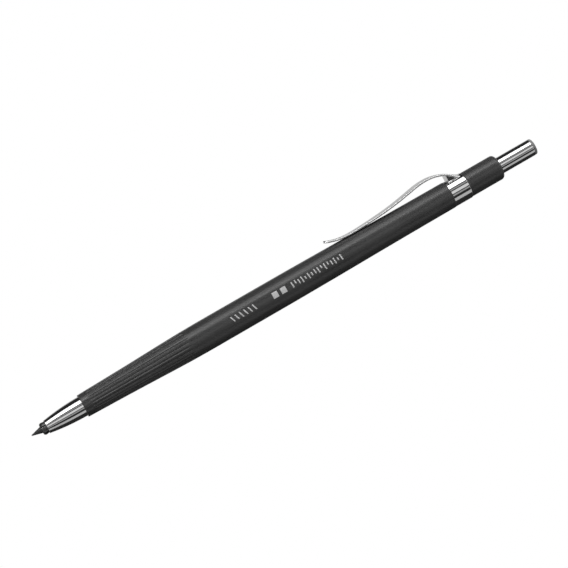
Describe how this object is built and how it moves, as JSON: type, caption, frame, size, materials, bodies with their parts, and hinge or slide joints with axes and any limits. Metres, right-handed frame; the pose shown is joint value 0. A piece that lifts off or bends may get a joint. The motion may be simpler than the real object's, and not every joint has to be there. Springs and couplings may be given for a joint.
{
  "type": "lead holder",
  "caption": "Slim black clutch pencil with a bright ogive nose, ribbed grip zone, pocket clip, push button with a sharpener inside, and a sprung collet that grips the lead.",
  "frame": {"origin": "centre of the nose cone's front opening, on the pencil's axis", "axes": "+X along the pencil from the nose to the push button, +Z towards the clip"},
  "size_m": [0.1471, 0.0078, 0.0104],
  "materials": {
    "black_plastic": "satin",
    "chrome": "polished",
    "dark_nickel": "satin",
    "graphite": "satin",
    "brass": "turned",
    "spring_steel": "drawn",
    "white_plastic": "satin",
    "grey_plastic": "satin"
  },
  "bodies": {
    "barrel": {"barrel": "black_plastic", "nose_cone": "chrome", "front_bush": "brass", "spring_washer": "spring_steel", "return_spring": "spring_steel", "rear_bush": "brass", "tube_guide": "white_plastic", "clip_band": "chrome", "end_cap": "black_plastic"},
    "mechanism": {"collet_body": "dark_nickel", "lead_tube": "brass", "spring_collar": "brass"},
    "jaw_top": {"collet_jaw_top": "dark_nickel"},
    "jaw_left": {"collet_jaw_left": "dark_nickel"},
    "jaw_right": {"collet_jaw_right": "dark_nickel"},
    "lead": {"lead": "graphite"},
    "button": {"button_shell": "chrome", "button_grip": "white_plastic", "lead_pointer": "brass", "pointer_blades": "spring_steel", "button_plug": "grey_plastic"},
    "clip": {"clip_arm": "chrome"}
  },
  "joints": [
    {"name": "press", "type": "slide", "parent": "barrel", "child": "mechanism", "axis": [-1, 0, 0], "range_m": [0, 0.0045], "stiffness_N_per_m": 600, "deforming": ["return_spring"]},
    {"name": "lead_slide", "type": "slide", "parent": "mechanism", "child": "lead", "axis": [-1, 0, 0], "range_m": [-0.005, 0.1]},
    {"name": "button_pull", "type": "slide", "parent": "mechanism", "child": "button", "axis": [1, 0, 0], "range_m": [0, 0.02]},
    {"name": "clip_flex", "type": "hinge", "parent": "barrel", "child": "clip", "pos_m": [0.1194, 0, 0.00433], "axis": [0, 1, 0], "range_deg": [0, 4.5]},
    {"name": "jaw_top_open", "type": "hinge", "parent": "mechanism", "child": "jaw_top", "pos_m": [0.011, 0, 0.00115], "axis": [0, 1, 0], "range_deg": [0, 1.5]},
    {"name": "jaw_left_open", "type": "hinge", "parent": "mechanism", "child": "jaw_left", "pos_m": [0.011, -0.001, -0.00057], "axis": [0, -0.5, 0.866], "range_deg": [0, 1.5]},
    {"name": "jaw_right_open", "type": "hinge", "parent": "mechanism", "child": "jaw_right", "pos_m": [0.011, 0.001, -0.00057], "axis": [0, -0.5, -0.866], "range_deg": [0, 1.5]}
  ],
  "couplings": [
    {"joint": "jaw_top_open", "follows": "press", "rad_per_m": 5.8172},
    {"joint": "jaw_left_open", "follows": "press", "rad_per_m": 5.8172},
    {"joint": "jaw_right_open", "follows": "press", "rad_per_m": 5.8172}
  ]
}
